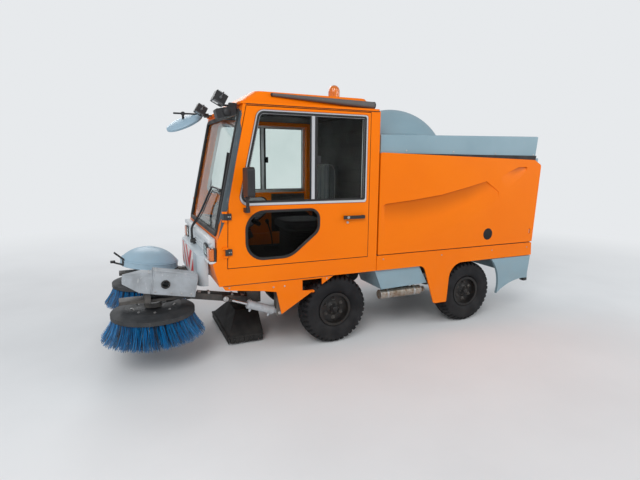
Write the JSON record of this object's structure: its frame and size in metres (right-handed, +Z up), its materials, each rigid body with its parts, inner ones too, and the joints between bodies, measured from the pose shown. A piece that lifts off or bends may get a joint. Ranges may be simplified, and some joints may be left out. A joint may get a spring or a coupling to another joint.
{
  "type": "compact road sweeper",
  "caption": "Compact municipal road sweeper with an upright glazed cab, front disc brushes on lifting arms, a suction mouth and a rear hopper that tips.",
  "frame": {"origin": "on the ground, under the middle of the machine's length and width", "axes": "+X forwards, +Y to the left, +Z up"},
  "size_m": [3.988, 1.74, 2.1959],
  "materials": {
    "orange_paint": "gloss enamel",
    "grey_paint": "semi-gloss enamel",
    "black_steel": "satin chassis black",
    "tyre_rubber": "matte rubber",
    "rim_paint": "satin black",
    "clear_glass": "polished",
    "anodised_frame": "anodised",
    "black_plastic": "moulded",
    "front_plastic": "moulded",
    "lamp_lens": "clear coloured lens",
    "grey_plastic": "moulded, worn",
    "bristle_blue": "bristle",
    "seat_fabric": "woven",
    "chromed_rod": "polished"
  },
  "bodies": {
    "chassis": {"frame": "black_steel", "cross_beams": "black_steel", "brackets": "black_steel", "engine_block": "black_steel", "front_axle": "black_steel", "rear_axle": "black_steel", "cab_shell": "orange_paint", "windscreen": "clear_glass", "cab_roof": "orange_paint", "front_panel": "front_plastic", "lamps": "lamp_lens", "side_skirts": "orange_paint", "grey_panels": "grey_paint", "silencer": "black_steel", "suction_mouth": "black_steel", "dashboard": "black_plastic", "seat_frame": "black_plastic", "seat_pads": "seat_fabric", "beacon": "lamp_lens", "roof_tube": "grey_paint", "roof_fittings": "black_plastic"},
    "hopper": {"hopper_tub": "grey_paint", "hopper_panels": "orange_paint", "hopper_lid": "grey_paint"},
    "tailgate": {"tailgate": "grey_paint"},
    "tip_barrels": {"tip_barrels": "grey_paint"},
    "tip_rods": {"tip_rods": "chromed_rod"},
    "tie_rod": {"tie_rod": "black_steel"},
    "knuckle_left": {"knuckle_left": "black_steel"},
    "door_left": {"door_left": "orange_paint", "window_frame_left": "anodised_frame", "door_glass_left": "clear_glass", "door_fittings_left": "black_plastic"},
    "brush_arm_left": {"brush_arm_left": "black_steel"},
    "carrier_left": {"carrier_left": "black_steel", "brush_cover_left": "grey_plastic"},
    "brush_left": {"brush_disc_left": "black_plastic", "bristles_left": "bristle_blue"},
    "lift_barrel_left": {"lift_barrel_left": "grey_paint"},
    "lift_rod_left": {"lift_rod_left": "chromed_rod"},
    "wheel_front_left": {"tyre_front_left": "tyre_rubber", "rim_front_left": "rim_paint"},
    "wheel_rear_left": {"tyre_rear_left": "tyre_rubber", "rim_rear_left": "rim_paint"},
    "knuckle_right": {"knuckle_right": "black_steel"},
    "door_right": {"door_right": "orange_paint", "window_frame_right": "anodised_frame", "door_glass_right": "clear_glass", "door_fittings_right": "black_plastic"},
    "brush_arm_right": {"brush_arm_right": "black_steel"},
    "carrier_right": {"carrier_right": "black_steel", "brush_cover_right": "grey_plastic"},
    "brush_right": {"brush_disc_right": "black_plastic", "bristles_right": "bristle_blue"},
    "lift_barrel_right": {"lift_barrel_right": "grey_paint"},
    "lift_rod_right": {"lift_rod_right": "chromed_rod"},
    "wheel_front_right": {"tyre_front_right": "tyre_rubber", "rim_front_right": "rim_paint"},
    "wheel_rear_right": {"tyre_rear_right": "tyre_rubber", "rim_rear_right": "rim_paint"}
  },
  "joints": [
    {"name": "steer_left", "type": "hinge", "parent": "chassis", "child": "knuckle_left", "pos_m": [0.2045, 0.4305, 0.2925], "axis": [0, 0, 1], "range_deg": [-30, 30]},
    {"name": "wheel_front_left", "type": "hinge", "parent": "knuckle_left", "child": "wheel_front_left", "pos_m": [0.2045, 0.5525, 0.2925], "axis": [0, 1, 0], "continuous": true},
    {"name": "wheel_rear_left", "type": "hinge", "parent": "chassis", "child": "wheel_rear_left", "pos_m": [-1.1955, 0.5525, 0.2925], "axis": [0, 1, 0], "continuous": true},
    {"name": "door_left", "type": "hinge", "parent": "chassis", "child": "door_left", "pos_m": [1.1185, 0.691, 0.99], "axis": [0, 0, -1], "range_deg": [0, 75]},
    {"name": "brush_lift_left", "type": "hinge", "parent": "chassis", "child": "brush_arm_left", "pos_m": [0.9045, 0.45, 0.42], "axis": [0, 1, 0], "range_deg": [0, 24]},
    {"name": "carrier_level_left", "type": "hinge", "parent": "brush_arm_left", "child": "carrier_left", "pos_m": [1.3545, 0.45, 0.505], "axis": [0, 1, 0], "range_deg": [-26, 2]},
    {"name": "brush_spin_left", "type": "hinge", "parent": "carrier_left", "child": "brush_left", "pos_m": [1.6245, 0.45, 0.42], "axis": [0, 0, 1], "continuous": true},
    {"name": "lift_barrel_left", "type": "hinge", "parent": "chassis", "child": "lift_barrel_left", "pos_m": [0.6885, 0.56, 0.319], "axis": [0, 1, 0], "range_deg": [-1, 13]},
    {"name": "lift_rod_left", "type": "slide", "parent": "lift_barrel_left", "child": "lift_rod_left", "axis": [0.9365, 0, 0.3506], "range_m": [-0.02, 0.002]},
    {"name": "steer_right", "type": "hinge", "parent": "chassis", "child": "knuckle_right", "pos_m": [0.2045, -0.4305, 0.2925], "axis": [0, 0, 1], "range_deg": [-30, 30]},
    {"name": "wheel_front_right", "type": "hinge", "parent": "knuckle_right", "child": "wheel_front_right", "pos_m": [0.2045, -0.5525, 0.2925], "axis": [0, 1, 0], "continuous": true},
    {"name": "wheel_rear_right", "type": "hinge", "parent": "chassis", "child": "wheel_rear_right", "pos_m": [-1.1955, -0.5525, 0.2925], "axis": [0, 1, 0], "continuous": true},
    {"name": "door_right", "type": "hinge", "parent": "chassis", "child": "door_right", "pos_m": [1.1185, -0.691, 0.99], "axis": [0, 0, 1], "range_deg": [0, 75]},
    {"name": "brush_lift_right", "type": "hinge", "parent": "chassis", "child": "brush_arm_right", "pos_m": [0.9045, -0.45, 0.42], "axis": [0, 1, 0], "range_deg": [0, 24]},
    {"name": "carrier_level_right", "type": "hinge", "parent": "brush_arm_right", "child": "carrier_right", "pos_m": [1.3545, -0.45, 0.505], "axis": [0, 1, 0], "range_deg": [-26, 2]},
    {"name": "brush_spin_right", "type": "hinge", "parent": "carrier_right", "child": "brush_right", "pos_m": [1.6245, -0.45, 0.42], "axis": [0, 0, 1], "continuous": true},
    {"name": "lift_barrel_right", "type": "hinge", "parent": "chassis", "child": "lift_barrel_right", "pos_m": [0.6885, -0.56, 0.319], "axis": [0, 1, 0], "range_deg": [-1, 13]},
    {"name": "lift_rod_right", "type": "slide", "parent": "lift_barrel_right", "child": "lift_rod_right", "axis": [0.9365, 0, 0.3506], "range_m": [-0.02, 0.002]},
    {"name": "tie_rod", "type": "hinge", "parent": "knuckle_left", "child": "tie_rod", "pos_m": [0.0745, 0.4305, 0.2265], "axis": [0, 0, 1], "range_deg": [-30.5, 30.5]},
    {"name": "hopper_tip", "type": "hinge", "parent": "chassis", "child": "hopper", "pos_m": [-1.9605, 0, 0.742], "axis": [0, -1, 0], "range_deg": [0, 50]},
    {"name": "tailgate", "type": "hinge", "parent": "hopper", "child": "tailgate", "pos_m": [-1.9635, 0, 1.584], "axis": [0, 1, 0], "range_deg": [0, 90]},
    {"name": "tip_barrels", "type": "hinge", "parent": "chassis", "child": "tip_barrels", "pos_m": [-1.5455, 0, 0.56], "axis": [0, -1, 0], "range_deg": [-1, 60]},
    {"name": "tip_rods", "type": "slide", "parent": "tip_barrels", "child": "tip_rods", "axis": [0.9876, 0, 0.1571], "range_m": [-0.002, 0.345]}
  ],
  "couplings": [
    {"joint": "carrier_level_left", "follows": "brush_lift_left", "ratio": -1},
    {"joint": "lift_barrel_left", "follows": "brush_lift_left", "ratio": 0.4717},
    {"joint": "lift_rod_left", "follows": "brush_lift_left", "m_per_rad": -0.04215},
    {"joint": "carrier_level_right", "follows": "brush_lift_right", "ratio": -1},
    {"joint": "lift_barrel_right", "follows": "brush_lift_right", "ratio": 0.4717},
    {"joint": "lift_rod_right", "follows": "brush_lift_right", "m_per_rad": -0.04215},
    {"joint": "steer_right", "follows": "steer_left", "ratio": 1},
    {"joint": "tie_rod", "follows": "steer_left", "ratio": -1},
    {"joint": "tip_barrels", "follows": "hopper_tip", "ratio": 1.1678},
    {"joint": "tip_rods", "follows": "hopper_tip", "m_per_rad": 0.3882}
  ]
}
